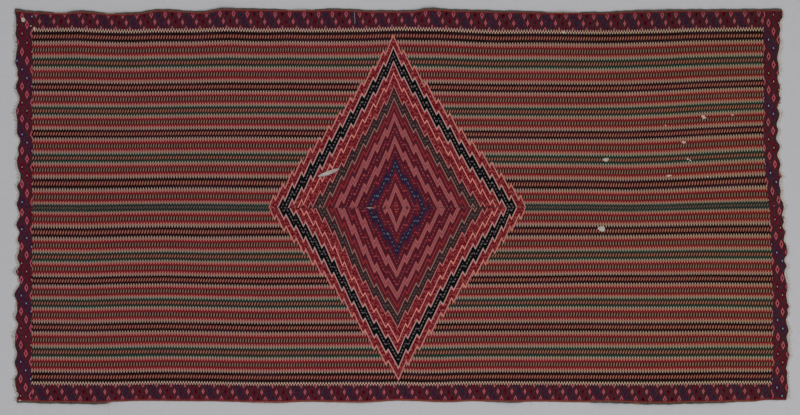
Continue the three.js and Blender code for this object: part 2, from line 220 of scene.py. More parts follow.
# the two cream lines wander more often: places along the length and how far
CREAM_WANDER = {
    30.15: dict(
        at=[20, 50, 78, 97, 116, 135, 154, 192, 211, 230, 249, 268, 287, 306, 363, 382, 401, 420,
            439, 458, 477, 496, 534, 572, 600, 629, 648, 667, 686, 724, 746, 785],
        by=[-0.8, -0.85, -1.05, -0.05, 0.45, 0.55, -0.25, -0.15, -0.85, -1.25, -0.55, -0.35, -0.85,
            -0.35, -0.75, -1.55, -1.95, -1.55, -1.35, -0.55, 0.45, 1.15, 0.85, 1.35, 1.55, 1.15,
            0.65, 0.25, -0.65, -1.15, -1.4, -1.6],
    ),
    382.65: dict(
        at=[20, 40, 78, 116, 154, 173, 211, 230, 268, 306, 325, 344, 382, 401, 420, 439, 458, 496,
            534, 591, 648, 686, 705, 724, 746, 785],
        by=[-0.1, 0.0, 0.25, 0.35, -0.35, -0.35, 0.0, 0.45, 0.75, 0.55, 0.75, 0.45, 0.65, 0.15,
            0.85, 0.75, 0.05, -0.25, 0.0, 0.25, 0.35, 0.05, -0.25, -0.65, -0.5, -0.6],
    ),
}
# the long borders: how many pink diamonds lie before places along the length
PINKS_AT = [-4, 36, 76, 116, 156, 196, 236, 276, 316, 356, 396, 436, 476, 516, 556, 596, 636, 676,
            716, 756, 796]
PINKS = {
    "far": [-3.0, -0.21, 2.56, 5.31, 8.12, 11.0, 13.97, 16.85, 19.6, 22.5, 25.6, 28.57, 31.36, 34.2,
            37.07, 39.95, 42.86, 45.8, 48.72, 51.58, 54.44],
    "near": [-2.5, 0.26, 2.99, 5.81, 8.73, 11.56, 14.27, 17.01, 19.81, 22.96, 25.92, 28.66, 31.46,
             34.33, 37.53, 40.51, 43.3, 46.06, 48.96, 51.85, 54.74],
}
# the end borders: the row of a first dark diamond, the spacing of the rows, and how far the rows
# wander from it at places down the end
END_ROWS = {
    "far": dict(
        left=dict(first=36.0, pitch=16.38, at=[22, 36, 51, 66, 80, 109, 130, 170, 185, 198],
                  by=[-3.6, -2.75, -1.0, 0.0, 0.75, 0.5, -0.4, -0.4, 0.2, 1.7]),
        right=dict(first=5.65, pitch=16.75, at=[94, 109, 124, 145, 167, 182, 198],
                   by=[0.0, -1.2, -1.25, -0.75, -1.2, 0.0, 1.3]),
    ),
    "near": dict(
        left=dict(first=195.6, pitch=16.62, at=[218, 232, 247, 276, 290, 305, 320, 334, 363, 378, 392],
                  by=[-0.5, 0.0, 0.75, 0.5, 0.2, -1.0, -1.2, -0.75, -0.5, 0.0, 0.25]),
        right=dict(first=152.6, pitch=16.7, at=[218, 240, 262, 276, 290, 334, 363, 378],
                   by=[-0.5, -0.75, -0.75, -0.5, -0.1, 0.0, 0.5, 0.6]),
    ),
}
# the inner line of each end border and the diamond's upright axis, by row
LINES = dict(
    left=dict(v=[30, 100, 200, 300, 385], u=[31.9, 31.9, 32.0, 31.2, 30.6]),
    axis=dict(v=[30, 100, 200, 300, 385], u=[393.4, 394.5, 396.0, 397.6, 398.9]),
    right=dict(
        v=[30, 100, 130, 155, 180, 205, 235, 262, 300, 345, 385],
        u=[763.0, 763.3, 762.6, 764.0, 765.6, 768.6, 770.4, 771.8, 771.8, 772.6, 771.5],
    ),
)
LEFT_LINE, RIGHT_LINE = -364.0, 372.0  # the same lines once straightened
SEAM_V = 206.8
TOOTH = 2.72  # one tooth of the thin stripes
# the big diamond: its axis and middle row; then, for each quarter, how far out each tooth's tip
# lies and how far the teeth have climbed there, and where its flank swells
MIDDLE_OFF, MIDDLE_V = -0.97, 207.33
TEETH = {
    "far": dict(
        left=dict(
            out=[9.7, 20.5, 32.1, 43.6, 54.5, 66.0, 75.8, 85.2, 94.3, 103.8, 113.0],
            climb=[15.2, 30.4, 46.4, 62.3, 76.5, 91.1, 103.0, 113.3, 124.7, 135.9, 148.6],
            swell=(4.48, 63.4, 6.01, 7.37), off=0.26, slide=([110, 150, 190, 205], [0.0, 1.0, 0.8, 0.3], [0, 1], [1, 1]),
        ),
        right=dict(
            out=[10.3, 21.1, 32.6, 44.5, 55.6, 66.7, 77.2, 87.0, 96.8, 106.0, 115.7],
            climb=[15.8, 31.0, 47.8, 64.4, 77.7, 92.2, 105.2, 116.6, 127.4, 138.3, 149.1],
            swell=(2.0, 254.3, 5.81, 2.05), off=-0.42,
        ),
    ),
    "near": dict(
        left=dict(
            out=[12.1, 23.6, 34.5, 45.5, 55.1, 64.9, 74.8, 83.6, 92.6, 102.1, 112.0],
            climb=[15.2, 30.2, 46.4, 62.9, 77.3, 91.7, 104.2, 114.6, 125.2, 136.6, 148.8],
            swell=(10.19, 60.0, 4.21, 7.01), off=0.64, slide=([262, 300], [1.5, 0.3], [125, 148], [1.0, 0.1]),
        ),
        right=dict(
            out=[10.1, 21.7, 33.7, 45.8, 56.7, 68.4, 79.1, 88.8, 98.4, 107.4, 115.6],
            climb=[16.2, 31.2, 47.7, 64.5, 77.9, 91.2, 103.4, 115.6, 127.6, 138.4, 150.3],
            swell=(4.0, 260.0, 6.34, 2.19), off=-0.60,
        ),
    ),
}
MEAN_CLIMB = 15.0
# how plainly the brown line along each long edge shows, at places along the length
BOUND = {
    "far": ([15, 28, 40, 115, 300, 410, 540, 790], [0.5, 0.7, 1.0, 1.0, 0.8, 1.0, 0.7, 0.8]),
    "near": ([15, 100, 112, 240, 262, 400, 700, 745, 765, 790], [1.0, 1.0, 0.5, 0.5, 1.0, 1.0, 0.9, 0.8, 0.2, 0.1]),
}
TOOTH_PEAK, TOOTH_BACK = 0.80, 6.6


def chart(x, y, panel):
    """The chart's coordinates at places on a panel in millimetres."""
    u = (x + CENTRE_X) / STEP + 400.6
    v = 206.2 - (y + CENTRE_Y) / STEP
    lines = np.array(sorted([*WANDER, *CREAM_WANDER]))
    drift = []
    for k in lines:
        c = CREAM_WANDER.get(k, dict(at=WANDER_AT, by=WANDER.get(k)))
        drift.append(np.interp(u, c["at"], c["by"]))
    drift = np.array(drift)
    n = len(lines)
    row = np.interp(v, lines, np.arange(n))
    k = np.clip(np.floor(row).astype(int), 0, n - 2)
    t = row - k
    at = np.arange(u.size)
    q = v - (drift[k, at] * (1 - t) + drift[k + 1, at] * t)
    strips = np.array([STRIPS[0] - 125.0] + STRIPS + [STRIPS[-1] + 125.0])
    bands = np.interp(q, strips, np.array([-10.0, *range(30), 39.0]))
    left, axis, right = (np.interp(v, LINES[c]["v"], LINES[c]["u"]) for c in ("left", "axis", "right"))
    p = np.where(
        u < axis,
        LEFT_LINE * (axis - u) / (axis - left),
        RIGHT_LINE * (u - axis) / (right - axis),
    )
    phase = p / TOOTH + 0.42 * np.sin(p / 41 + q / 23) + 0.34 * np.sin(q / 31 - p / 57)
    # the diamond's teeth and climb, and the borders' rows
    d = u - axis - MIDDLE_OFF
    steps, rise, rows = np.zeros_like(u), np.zeros_like(u), np.zeros_like(u)
    for end, here in (("left", d < 0), ("right", d >= 0)):
        quarter = TEETH[panel][end]
        tips = [0.0, *quarter["out"]]
        climb = [0.0, *quarter["climb"]]
        tips += [tips[-1] + 9.5 * k for k in (1, 2, 3, 30)]
        climb += [climb[-1] + 11.5, climb[-1] + 27.5, climb[-1] + 43.5, climb[-1] + 475.5]
        count = [*range(len(tips) - 1), len(quarter["out"]) + 30]
        # the teeth slide along their rings, by row and by ring
        by_row, row_slide, by_ring, ring_part = quarter.get("slide", ([0], [0], [0], [1]))
        slide = np.interp(v, by_row, row_slide) * np.clip(np.abs(d) / 8, 0, 1)
        slide *= np.interp(np.abs(v - MIDDLE_V) + 1.4 * np.abs(d), by_ring, ring_part)
        s = np.interp(np.abs(d) + slide, tips, count)
        high, reach, middle, half = quarter["swell"]
        swell = high * np.clip(1 - np.abs(v - MIDDLE_V) / reach, 0, 1) * np.clip(1 - np.abs(s - middle) / half, 0, 1)
        steps = np.where(here, s, steps)
        rise = np.where(here, np.interp(s, count, climb) - MEAN_CLIMB * s + swell + quarter["off"] - 1.4 * slide, rise)
        e = END_ROWS[panel][end]
        rows = np.where(here, (v - np.interp(v, e["at"], e["by"]) - e["first"]) / e["pitch"], rows)
    # the points on the axis below the middle
    rise += np.interp(v, [215, 255, 280, 322, 340], [0, 1.1, 2.0, 2.0, 0.6]) * np.clip(1 - np.abs(d) / 9, 0, 1)
    teeth = np.sign(d) * steps
    pinks = 2 * np.interp(u, PINKS_AT, PINKS[panel])
    return dict(
        chart=(p, q, bands),
        chart_steps=(teeth, v - MIDDLE_V, phase),
        chart_more=(rise, pinks, rows),
    )


# ---- colours ---------------------------------------------------------------------------------
def paint(r, g, b):
    c = [v / 255 for v in (r, g, b)]
    return tuple(v / 12.92 if v <= 0.04045 else ((v + 0.055) / 1.055) ** 2.4 for v in c) + (1.0,)


TAN = paint(129, 98, 86)
BLACK = paint(26, 12, 13)
RED = paint(98, 25, 28)
GREEN = paint(36, 40, 33)
MAROON = paint(78, 18, 30)
PLUM = paint(62, 20, 38)
CRIMSON = paint(104, 17, 25)
ROSE = paint(148, 82, 82)
ROSE_DEEP = paint(132, 62, 68)
PINK = paint(190, 121, 113)

# The thin stripes, by kind: black, red, green, and the narrow one that holds the seam.
STRIPE = dict(
    solid=[BLACK, RED, GREEN, paint(28, 38, 35)],
    # the same once the dye has changed along the yarn
    changed=[paint(42, 20, 28), paint(106, 25, 29), paint(24, 46, 40), paint(30, 46, 42)],
    tooth=[paint(162, 134, 121), paint(176, 104, 100), paint(150, 135, 122), paint(124, 106, 95)],
    # the strokes of the middle, and how some of them differ
    hatch=[paint(150, 85, 80), paint(120, 98, 91), paint(134, 92, 88), paint(100, 84, 80)],
    other=[paint(146, 100, 83), paint(136, 102, 88), paint(146, 98, 79), paint(106, 82, 78)],
    ground=[paint(44, 4, 3), paint(41, 11, 5), paint(47, 10, 4), paint(32, 31, 28)],
)

# The diamond's rings from the middle out: where each begins, its ground and its dots.
RINGS = [
    (0.0, paint(92, 30, 36), None),
    (3.0, paint(90, 24, 30), paint(146, 66, 62)),
    (7.6, paint(92, 30, 36), None),
    (10.6, paint(66, 21, 28), None),
    (16.3, ROSE, None),
    (19.6, ROSE_DEEP, None),
    (22.2, ROSE, None),
    (25.4, paint(70, 24, 32), None),
    (30.8, paint(82, 22, 34), None),
    (33.0, paint(82, 14, 26), paint(156, 68, 68)),
    (35.2, paint(72, 24, 36), None),
    (40.6, paint(33, 25, 47), None),
    (44.0, paint(19, 27, 49), paint(80, 96, 110)),
    (46.4, paint(27, 25, 49), None),
    (49.8, paint(62, 24, 38), None),
    (56.0, paint(80, 13, 25), paint(152, 64, 64)),
    (58.2, paint(68, 20, 29), None),
    (64.5, ROSE, None),
    (67.2, ROSE_DEEP, None),
    (69.6, ROSE, None),
    (72.3, paint(72, 23, 31), None),
    (79.0, paint(80, 15, 27), paint(148, 66, 70)),
    (81.2, paint(66, 20, 29), None),
    (87.1, ROSE, None),
    (89.9, ROSE_DEEP, None),
    (92.3, ROSE, None),
    (95.1, paint(70, 22, 30), None),
    (100.2, paint(126, 40, 48), None),
    (102.9, paint(62, 20, 25), None),
    (105.2, paint(108, 34, 40), None),
    (106.6, paint(62, 22, 26), None),
    (108.4, paint(140, 100, 94), None),
    (110.0, paint(45, 29, 31), None),
    (114.0, paint(43, 30, 32), paint(90, 74, 72)),
    (116.6, paint(47, 29, 32), None),
    (120.6, paint(172, 102, 98), None),
    (122.7, paint(104, 26, 33), None),
    (125.0, paint(86, 8, 20), paint(158, 78, 80)),
    (127.0, paint(106, 30, 36), None),
    (129.2, paint(86, 8, 20), paint(158, 78, 80)),
    (131.2, paint(104, 26, 33), None),
    (133.5, paint(204, 128, 118), None),
    (135.8, paint(104, 25, 32), None),
    (138.8, paint(86, 8, 20), paint(158, 78, 80)),
    (141.2, paint(104, 25, 32), None),
    (144.2, paint(168, 94, 92), None),
    (145.4, paint(172, 138, 134), None),
    (147.0, paint(6, 10, 12), None),
    (152.0, paint(10, 11, 14), paint(112, 98, 102)),
    (154.2, paint(6, 9, 11), None),
    (159.4, paint(170, 140, 134), None),
    (160.9, paint(176, 100, 96), None),
    (162.3, paint(102, 22, 29), None),
    (165.4, paint(86, 8, 20), paint(158, 78, 80)),
    (167.8, paint(102, 22, 29), None),
    (170.8, paint(178, 112, 103), None),
]
DIAMOND_R = 173.7
SPLIT_R = 100.2  # the rings inside and outside it are two colour tables


# ---- node arithmetic -------------------------------------------------------------------------
class Val:
    """A node's output that takes part in sums."""

    def __init__(self, net, socket):
        self.net, self.socket = net, socket

    def __add__(self, o):
        return self.net.math("ADD", self, o)

    __radd__ = __add__

    def __sub__(self, o):
        return self.net.math("SUBTRACT", self, o)

    def __rsub__(self, o):
        return self.net.math("SUBTRACT", o, self)

    def __mul__(self, o):
        return self.net.math("MULTIPLY", self, o)

    __rmul__ = __mul__

    def __truediv__(self, o):
        if isinstance(o, Val):
            return self.net.math("DIVIDE", self, o)
        return self.net.math("MULTIPLY", self, 1.0 / o)

    def __lt__(self, o):
        return self.net.math("LESS_THAN", self, o)

    def __gt__(self, o):
        return self.net.math("GREATER_THAN", self, o)


class Net:
    """Builds a material's nodes in the order in which they are worked out."""

    def __init__(self, name):
        self.material = bpy.data.materials.new(name)
        self.material.use_nodes = True
        self.tree = self.material.node_tree
        self.tree.nodes.clear()
        self.count = 0

    def node(self, kind, **settings):
        n = self.tree.nodes.new(kind)
        n.location = (190 * (self.count % 24), -210 * (self.count // 24))
        self.count += 1
        for key, value in settings.items():
            setattr(n, key, value)
        return n

    def put(self, socket, value):
        if isinstance(value, Val):
            self.tree.links.new(value.socket, socket)
        else:
            socket.default_value = value

    def math(self, op, *args, clamp=False):
        n = self.node("ShaderNodeMath", operation=op, use_clamp=clamp)
        for socket, value in zip(n.inputs, args):
            self.put(socket, value)
        return Val(self, n.outputs[0])

    def floor(self, a):
        return self.math("FLOOR", a)

    def fract(self, a):
        return self.math("FRACT", a)

    def size(self, a):
        return self.math("ABSOLUTE", a)

    def least(self, a, b):
        return self.math("MINIMUM", a, b)

    def most(self, a, b):
        return self.math("MAXIMUM", a, b)

    def cos(self, a):
        return self.math("COSINE", a)

    def rest(self, a, b):
        return self.math("FLOORED_MODULO", a, b)

    def pick(self, t, a, b):
        """a where t is 0 and b where t is 1."""
        if not isinstance(a, Val) and not isinstance(b, Val):
            return self.math("MULTIPLY_ADD", t, b - a, a)
        return self.math("MULTIPLY_ADD", t, b - a, a)

    def peak(self, a):
        """A zigzag from 0 at whole numbers to 1 half way between them."""
        return 1.0 - self.size(self.fract(a) * 2.0 - 1.0)

    def blend(self, t, a, b, kind="MIX"):
        n = self.node("ShaderNodeMix", data_type="RGBA", blend_type=kind, clamp_factor=True)
        self.put(n.inputs[0], t)
        self.put(n.inputs[6], a)
        self.put(n.inputs[7], b)
        return Val(self, n.outputs[2])

    def ramp(self, fac, stops, kind="CONSTANT"):
        n = self.node("ShaderNodeValToRGB")
        cr = n.color_ramp
        cr.interpolation = kind
        cr.elements.remove(cr.elements[1])
        cr.elements[0].position, cr.elements[0].color = stops[0]
        for place, colour in stops[1:]:
            cr.elements.new(place).color = colour
        self.put(n.inputs[0], fac)
        return Val(self, n.outputs[0])

    def kinds(self, kind, colours):
        """One of a few colours, by a whole number from 0."""
        n = len(colours)
        return self.ramp((kind + 0.5) / n, [(i / n, c) for i, c in enumerate(colours)])

    def attribute(self, name):
        n = self.node("ShaderNodeAttribute", attribute_name=name)
        s = self.node("ShaderNodeSeparateXYZ")
        self.tree.links.new(n.outputs["Vector"], s.inputs[0])
        return [Val(self, o) for o in s.outputs]

    def vector(self, *xyz):
        n = self.node("ShaderNodeCombineXYZ")
        for socket, value in zip(n.inputs, xyz):
            self.put(socket, value)
        return Val(self, n.outputs[0])

    def noise(self, vector, scale, detail=2.0, rough=0.5):
        n = self.node("ShaderNodeTexNoise")
        self.put(n.inputs["Vector"], vector)
        n.inputs["Scale"].default_value = scale
        n.inputs["Detail"].default_value = detail
        n.inputs["Roughness"].default_value = rough
        return Val(self, n.outputs["Fac"])

    def speck(self, vector):
        n = self.node("ShaderNodeTexWhiteNoise", noise_dimensions="3D")
        self.put(n.inputs["Vector"], vector)
        return Val(self, n.outputs["Value"])

    def finish(self, colour, rough, bump=None, sheen=0.0, specular=0.25):
        b = self.node("ShaderNodeBsdfPrincipled")
        self.put(b.inputs["Base Color"], colour)
        self.put(b.inputs["Roughness"], rough)
        b.inputs["Specular IOR Level"].default_value = specular
        b.inputs["Sheen Weight"].default_value = sheen
        b.inputs["Sheen Roughness"].default_value = 0.6
        if bump is not None:
            self.tree.links.new(bump.socket, b.inputs["Normal"])
        out = self.node("ShaderNodeOutputMaterial")
        self.tree.links.new(b.outputs[0], out.inputs[0])
        return self.material

    def bump(self, height, distance, strength):
        n = self.node("ShaderNodeBump")
        n.inputs["Strength"].default_value = strength
        n.inputs["Distance"].default_value = distance
        self.put(n.inputs["Height"], height)
        return Val(self, n.outputs[0])


def tapestry():
    """The woven cloth: thin serrated stripes, the stepped diamond and the diamond borders."""
    net = Net("tapestry_weave")
    p0, q0, b0 = net.attribute("chart")
    teeth, v0, phase0 = net.attribute("chart_steps")
    rise, pinks, rows = net.attribute("chart_more")
    edge, end, bound = net.attribute("chart_edge")

    # the weave's grid: warps run along the length, the weft crosses them
    warp, weft = 0.46, 0.21
    warp_no = net.floor(q0 / warp)
    weft_no = net.floor(p0 / weft + 0.5 * net.rest(warp_no, 2.0))
    down = (warp_no + 0.5) * warp - q0
    q = q0 + down
    b = b0 + down / 12.1

    # -- thin stripes
    band = net.floor(b)
    f = b - band
    fold = net.least(band, 28.0 - band)
    odd = net.rest(fold, 2.0)
    even_kind = (net.rest(fold, 4.0) > 1.5) * (2.0 + (fold > 13.5))
    kind = net.pick(odd, even_kind, 1.0)
    phase = phase0 + band * 0.43
    low = f > 0.5
    g = net.least(f, 1.0 - f)
    tooth = net.peak(phase - net.pick(low, 0.18, 0.75))
    in_tooth = g < net.math("MULTIPLY", tooth - 0.4, 2.6, clamp=True) * 0.15 + 0.047
    in_tooth = in_tooth * (net.least(b, 29.0 - b) > 0.4)
    in_hatch = g > net.pick(odd, 0.35, 0.335)
    lean = net.pick(odd, 1.4, 0.62)
    stroke = phase + (f - 0.5) * lean + 0.5
    off = net.size(net.fract(stroke) - 0.5)
    differs = net.speck(net.vector(net.floor(stroke), band, 3.0))
    in_stroke = off < net.pick(odd, 0.27, 0.225) - (0.5 - g) * net.pick(odd, 1.0, 0.5)
    strokes = net.blend(differs, net.kinds(kind, STRIPE["hatch"]), net.kinds(kind, STRIPE["other"]))
    stripes = net.blend(in_stroke, net.kinds(kind, STRIPE["ground"]), strokes)
    abrash = net.noise(net.vector(p0 * 0.017, band * 3.7 + low * 1.9, 5.0), 1.0, 2.0)
    solid = net.blend(
        (abrash - 0.44) * 5.0, net.kinds(kind, STRIPE["solid"]), net.kinds(kind, STRIPE["changed"])
    )
    stripes = net.blend(in_hatch, solid, stripes)
    # the rosy teeth have gone tan towards the right end
    gone = net.most(p0, 0.0) * odd * 0.0019
    stripes = net.blend(in_tooth, stripes, net.blend(gone, net.kinds(kind, STRIPE["tooth"]), paint(164, 112, 93)))
    stripes = net.blend(g < 0.05, stripes, TAN)
    first = net.least(b, 29.0 - b)
    # two rows of beads side by side, set between each other
    away = net.size(first)
    on_line = away < 0.15
    inner_row = first > 0.0
    bead = net.size(net.fract(phase0 + inner_row * 0.5) - 0.5) < 0.3 - away * 1.1
    beads = net.blend(inner_row, paint(170, 136, 122), paint(182, 156, 136))
    beads = net.blend(bead, net.blend(inner_row, paint(70, 20, 30), paint(34, 12, 16)), beads)
    stripes = net.blend(on_line, stripes, beads)

    # -- the stepped diamond
    d = net.size(teeth)
    part = net.fract(d)
    back = net.least(part / TOOTH_PEAK, (1.0 - part) / (1.0 - TOOTH_PEAK)) * TOOTH_BACK
    r = net.size(v0 + down) + d * MEAN_CLIMB + rise + back
    inner = [(a, c, s or c) for a, c, s in RINGS if a < SPLIT_R]
    outer = [(a, c, s or c) for a, c, s in RINGS if a >= SPLIT_R]
    outside = r > SPLIT_R
    near_r, far_r = r / SPLIT_R, (r - SPLIT_R) / SPLIT_R
    ground = net.blend(
        outside,
        net.ramp(near_r, [(a / SPLIT_R, c) for a, c, _ in inner]),
        net.ramp(far_r, [(a / SPLIT_R - 1, c) for a, c, _ in outer]),
    )
    dots = net.blend(
        outside,
        net.ramp(near_r, [(a / SPLIT_R, c) for a, _, c in inner]),
        net.ramp(far_r, [(a / SPLIT_R - 1, c) for a, _, c in outer]),
    )
    turn = 2 * math.pi
    place = net.vector(p0, q0, 0.0)
    loose = net.noise(place, 0.3, 1.0)
    navy = net.size(r - 45.3) < 4.6
    spacing = net.pick(navy, turn / 3.1, turn / 4.2)
    dotted = net.cos((q + r * 0.2 + loose * 3.0) * spacing) > net.pick(navy, 0.1, 0.34)
    diamond = net.blend(dotted, ground, dots)
    # the reds between the rose bands change from pick to pick
    in_rose = net.most(
        net.size(r - 20.8) < 4.6, net.most(net.size(r - 68.4) < 4.0, net.size(r - 91.1) < 4.1)
    )
    patch = net.noise(net.vector(p0, q0, 9.0), 0.5, 2.0, 0.6)
    patches = net.ramp(
        patch,
        [(0.0, paint(52, 44, 50)), (0.4, paint(70, 20, 48)), (0.48, paint(72, 10, 23)),
         (0.56, paint(124, 32, 40))],
    )
    in_patch = (r < 100.0) * (1.0 - in_rose) * (1.0 - dotted * 0.7) * (1.0 - navy * 0.8)
    diamond = net.blend(in_patch * 0.5, diamond, patches)
    flecks = net.noise(net.vector(p0 * 1.3, q0 * 0.8, 13.0), 0.6, 2.0, 0.6)
    diamond = net.blend(in_rose * (0.5 - flecks) * 3.2, diamond, paint(104, 44, 56))
    eyes = (net.size(d - 1.1) < 0.1) * (net.size(v0) < 1.7)
    diamond = net.blend(eyes * 0.8, diamond, paint(70, 14, 22))
    # so do the reds further out, from nearly black to rosy
    is_line = net.most(net.size(r - 134.65) < 1.3, r > 170.6)
    outer_red = (r > 122.7) * (1.0 - (net.size(r - 153.3) < 9.0)) * (1.0 - is_line)
    beat = net.cos(phase0 * turn) * net.cos(q0 * (turn / 3.3))
    reds = net.ramp(
        net.noise(net.vector(p0, q0, 21.0), 0.38, 1.0, 0.6) + beat * 0.09,
        [(0.0, paint(58, 0, 8)), (0.38, paint(76, 4, 14)), (0.49, paint(96, 17, 24)),
         (0.56, paint(112, 28, 38)), (0.66, paint(156, 78, 78))],
        "LINEAR",
    )
    diamond = net.blend(outer_red * 0.72, diamond, reds)
    colour = net.blend(r < DIAMOND_R, stripes, diamond)

    # -- borders: a lattice of small diamonds, each row of colour on a slant
    right = p0 > 0.0
    sides = net.most(p0 < LEFT_LINE, p0 > RIGHT_LINE)
    bottom = b > 14.5
    y_long = q - net.pick(bottom, 21.8, 391.0)
    x_side = p0 - net.pick(right, -374.4, 377.0)
    shift = net.pick(sides, 1.5, 0.5)
    across = net.pick(sides, pinks, x_side / 10.0)
    upright = net.pick(sides, y_long / 15.4, rows)
    alpha = across + upright + shift
    beta = across - upright + shift
    colour_row = net.rest(net.floor(beta), 4.0)
    a1 = net.fract(alpha) - 0.5
    b1 = net.fract(beta) - 0.5
    pink_row = net.rest(colour_row, 2.0)
    open_half = (net.size(y_long) > 3.6) * (1.0 - sides)
    tall = net.pick(sides, net.pick(open_half, 1.18, 0.88), 0.88)
    broad = net.pick(sides, net.pick(open_half, 1.02, 0.85), 1.0 + pink_row * 0.22)
    norm = net.size(a1 + b1) * broad + net.size(a1 - b1) * tall
    rose = net.blend(sides, paint(152, 74, 85), paint(164, 76, 90))
    dark = net.kinds(net.floor(colour_row / 2.0), [paint(36, 4, 11), paint(23, 25, 42)])
    body = net.blend(pink_row, dark, rose)
    heart = net.blend(
        sides,
        net.kinds(
            colour_row,
            [paint(22, 16, 15), paint(104, 24, 40), paint(38, 60, 72), paint(104, 24, 40)],
        ),
        net.kinds(
            colour_row,
            [paint(150, 138, 112), paint(38, 3, 12), paint(138, 154, 160), paint(38, 3, 12)],
        ),
    )
    around = net.blend(
        sides,
        net.kinds(colour_row, [paint(84, 11, 27), paint(61, 11, 24), paint(53, 17, 43), paint(65, 11, 24)]),
        net.kinds(colour_row, [paint(94, 13, 32), paint(76, 13, 28), paint(66, 18, 48), paint(80, 13, 28)]),
    )
    hollow = net.pick(sides, 0.06, 0.2) + open_half * 0.16
    border = net.blend(norm < net.pick(pink_row, 0.13, hollow), body, heart)
    border = net.blend(norm > net.pick(pink_row, 0.33, 0.49), border, around)
    lattice = net.most(net.size(a1), net.size(b1)) > net.pick(sides, 0.42, 0.43)
    border = net.blend(lattice, border, net.blend(sides, paint(48, 40, 38), paint(40, 40, 40)))
    mixed = net.noise(net.vector(p0, q0, 41.0), 0.4, 2.0, 0.6)
    mixture = net.ramp(
        mixed,
        [(0.0, paint(42, 44, 40)), (0.42, paint(54, 20, 48)), (0.5, paint(62, 12, 27)),
         (0.57, paint(86, 15, 32))],
    )
    plain = (norm > net.pick(pink_row, 0.33, 0.49)) * 0.3
    border = net.blend(plain, border, mixture)
    # some picks greyer and some redder than the rest
    picks = net.noise(net.vector(p0 * 1.4, q0, 53.0), 0.62, 2.0, 0.65)
    border = net.blend((picks - 0.6) * 2.4, border, paint(90, 70, 76))
    border = net.blend((0.46 - picks) * 2.6, border, paint(48, 4, 10))
    in_border = net.most(sides, net.most(b < 0.0, b > 29.0))
    colour = net.blend(in_border, colour, border)
    colour = net.blend(on_line * (1.0 - sides), colour, beads)
    colour = net.blend((edge < 2.3) * 0.65, colour, paint(94, 18, 30))
    colour = net.blend((edge < 1.15) * bound, colour, paint(114, 60, 48))
    colour = net.blend((end < 0.9) * 0.7, colour, paint(42, 40, 36))

    # -- unevenness of the dye and the yarn, and a little dust and fading
    yarn = net.speck(net.vector(weft_no, warp_no, 0.0))
    streak = net.noise(net.vector(p0 * 2.2, q0 * 0.35, 0.0), 1.0, 1.0)
    cloud = net.noise(place, 0.035, 3.0, 0.55)
    shade = 0.58 + yarn * 0.24 + streak * 0.36 + cloud * 0.26 + net.least(p0, 0.0) * 0.00016
    shade = shade - net.most(p0, 0.0) * net.most(net.least(110.0 - q0, 70.0), 0.0) * 0.000003
    warm = net.noise(net.vector(p0, q0, 17.0), 0.62, 2.0, 0.6) - 0.5
    cool = net.noise(net.vector(p0, q0, 29.0), 0.72, 2.0, 0.65) - 0.5
    yellowed = net.most(p0, 0.0)
    n = net.node("ShaderNodeVectorMath", operation="MULTIPLY")
    net.put(n.inputs[0], colour)
    net.put(
        n.inputs[1],
        net.vector(
            shade * (1.0 + warm * 0.5 - yellowed * (in_border * 0.00014 + 0.00008)),
            shade * (1.0 - warm * 0.5 + yellowed * 0.0001),
            shade * (1.0 + cool * 1.3 - yellowed * 0.0003),
        ),
    )
    colour = Val(net, n.outputs[0])
    dust = net.noise(place, 0.42, 4.0, 0.65)
    colour = net.blend((dust - 0.59) * 0.9, colour, paint(150, 122, 108))

    # -- relief: ribs over the warps, beads where the weft crosses them
    u = net.fract(q0 / warp) * 2.0 - 1.0
    rib = 1.0 - u * u
    w = net.fract(p0 / weft + 0.5 * net.rest(net.floor(q0 / warp), 2.0)) * 2.0 - 1.0
    bead = 1.0 - w * w
    lumps = net.noise(net.vector(p0, q0, 3.0), 0.9, 2.0)
    height = rib * 0.55 + bead * 0.3 + lumps * 0.8
    bump = net.bump(height, 0.0005, 0.5)
    rough = 0.84 + yarn * 0.14
    return net.finish(colour, rough, bump, sheen=0.0, specular=0.03)


def thread(name, colours, scale=900.0, sheen=0.1, dull=0.55, bare=paint(170, 154, 144)):
    """Spun thread: colour drifts from strand to strand, with a fine twist."""
    net = Net(name)
    tone, twist, worn = net.attribute("strand")
    g = net.node("ShaderNodeTexCoord")
    place = Val(net, g.outputs["Object"])
    n = len(colours) - 1
    colour = net.ramp(tone, [(i / n, c) for i, c in enumerate(colours)], "LINEAR")
    colour = net.blend(worn, colour, bare)
    fuzz = net.noise(place, scale, 3.0, 0.6)
    colour = net.blend(fuzz * dull, colour, paint(96, 84, 74))
    ply = net.cos(twist * 6.283)
    bump = net.bump(ply * 0.6 + fuzz * 0.7, 0.0003, 0.6)
    return net.finish(colour, 0.82 + fuzz * 0.14, bump, sheen=sheen, specular=0.2)


# ---- mesh helpers ----------------------------------------------------------------------------
def make(name, verts, faces, material, smooth=True):
    """An object from points in millimetres and faces of mixed size."""
    me = bpy.data.meshes.new(name)
    me.from_pydata((np.asarray(verts) * MM).tolist(), [], faces)
    me.update()
    me.polygons.foreach_set("use_smooth", np.full(len(me.polygons), smooth))
    me.materials.append(material)
    ob = bpy.data.objects.new(name, me)
    bpy.context.collection.objects.link(ob)
    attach(ob, "root")
    return ob


def set_vectors(ob, name, values):
    a = ob.data.attributes.new(name, "FLOAT_VECTOR", "POINT")
    a.data.foreach_set("vector", np.ascontiguousarray(values, np.float32).ravel())


